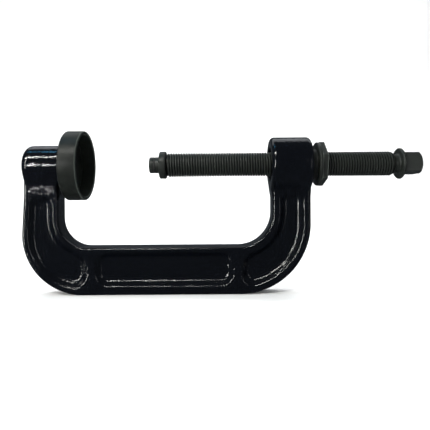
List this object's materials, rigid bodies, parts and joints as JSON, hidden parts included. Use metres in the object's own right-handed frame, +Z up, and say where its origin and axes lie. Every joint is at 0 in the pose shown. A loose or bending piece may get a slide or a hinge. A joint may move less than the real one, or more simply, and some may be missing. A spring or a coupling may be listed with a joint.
{
  "type": "c clamp",
  "caption": "Forged C-frame screw clamp with a round receiving cup, a hex-flanged sleeve nut and a long square-drive screw with a swivel nose.",
  "frame": {"origin": "on the pressing axis, in the plane of the receiving cup's rim", "axes": "+X along the pressing axis from the cup towards the drive square, +Y through the frame's thickness to the back, +Z up, away from the spine"},
  "size_m": [0.4899, 0.086, 0.2015],
  "materials": {
    "black_paint": "gloss over a rough forging",
    "black_oxide": "black oxide, matt, turned",
    "bright_steel": "polished",
    "spring_steel": "satin",
    "o_ring": "matt"
  },
  "bodies": {
    "frame": {"c_frame": "black_paint", "sleeve_nut": "black_oxide"},
    "cup_ring": {"cup_o_ring": "o_ring"},
    "cup": {"receiving_cup": "black_oxide"},
    "thrust_bearing": {"thrust_ball": "bright_steel", "nose_retaining_ring": "spring_steel"},
    "screw": {"screw_spindle": "black_oxide"},
    "nose": {"nose_cap": "black_oxide", "pilot_o_ring": "o_ring"}
  },
  "joints": [
    {"name": "screw_travel", "type": "slide", "parent": "frame", "child": "thrust_bearing", "axis": [-1, 0, 0], "range_m": [-0.1255, 0.0906]},
    {"name": "screw_turn", "type": "hinge", "parent": "thrust_bearing", "child": "screw", "pos_m": [0.195, 0, 0], "axis": [-1, 0, 0], "range_deg": [-14220, 10260]},
    {"name": "nose_swivel", "type": "hinge", "parent": "thrust_bearing", "child": "nose", "pos_m": [0.0935, 0, 0], "axis": [-1, 0, 0], "continuous": true},
    {"name": "cup_pull", "type": "slide", "parent": "frame", "child": "cup_ring", "axis": [1, 0, 0], "range_m": [0, 0.013]},
    {"name": "cup_swivel", "type": "hinge", "parent": "cup_ring", "child": "cup", "pos_m": [-0.03, 0, 0], "axis": [1, 0, 0], "continuous": true}
  ],
  "couplings": [
    {"joint": "screw_travel", "follows": "screw_turn", "m_per_rad": 0.00050532}
  ]
}
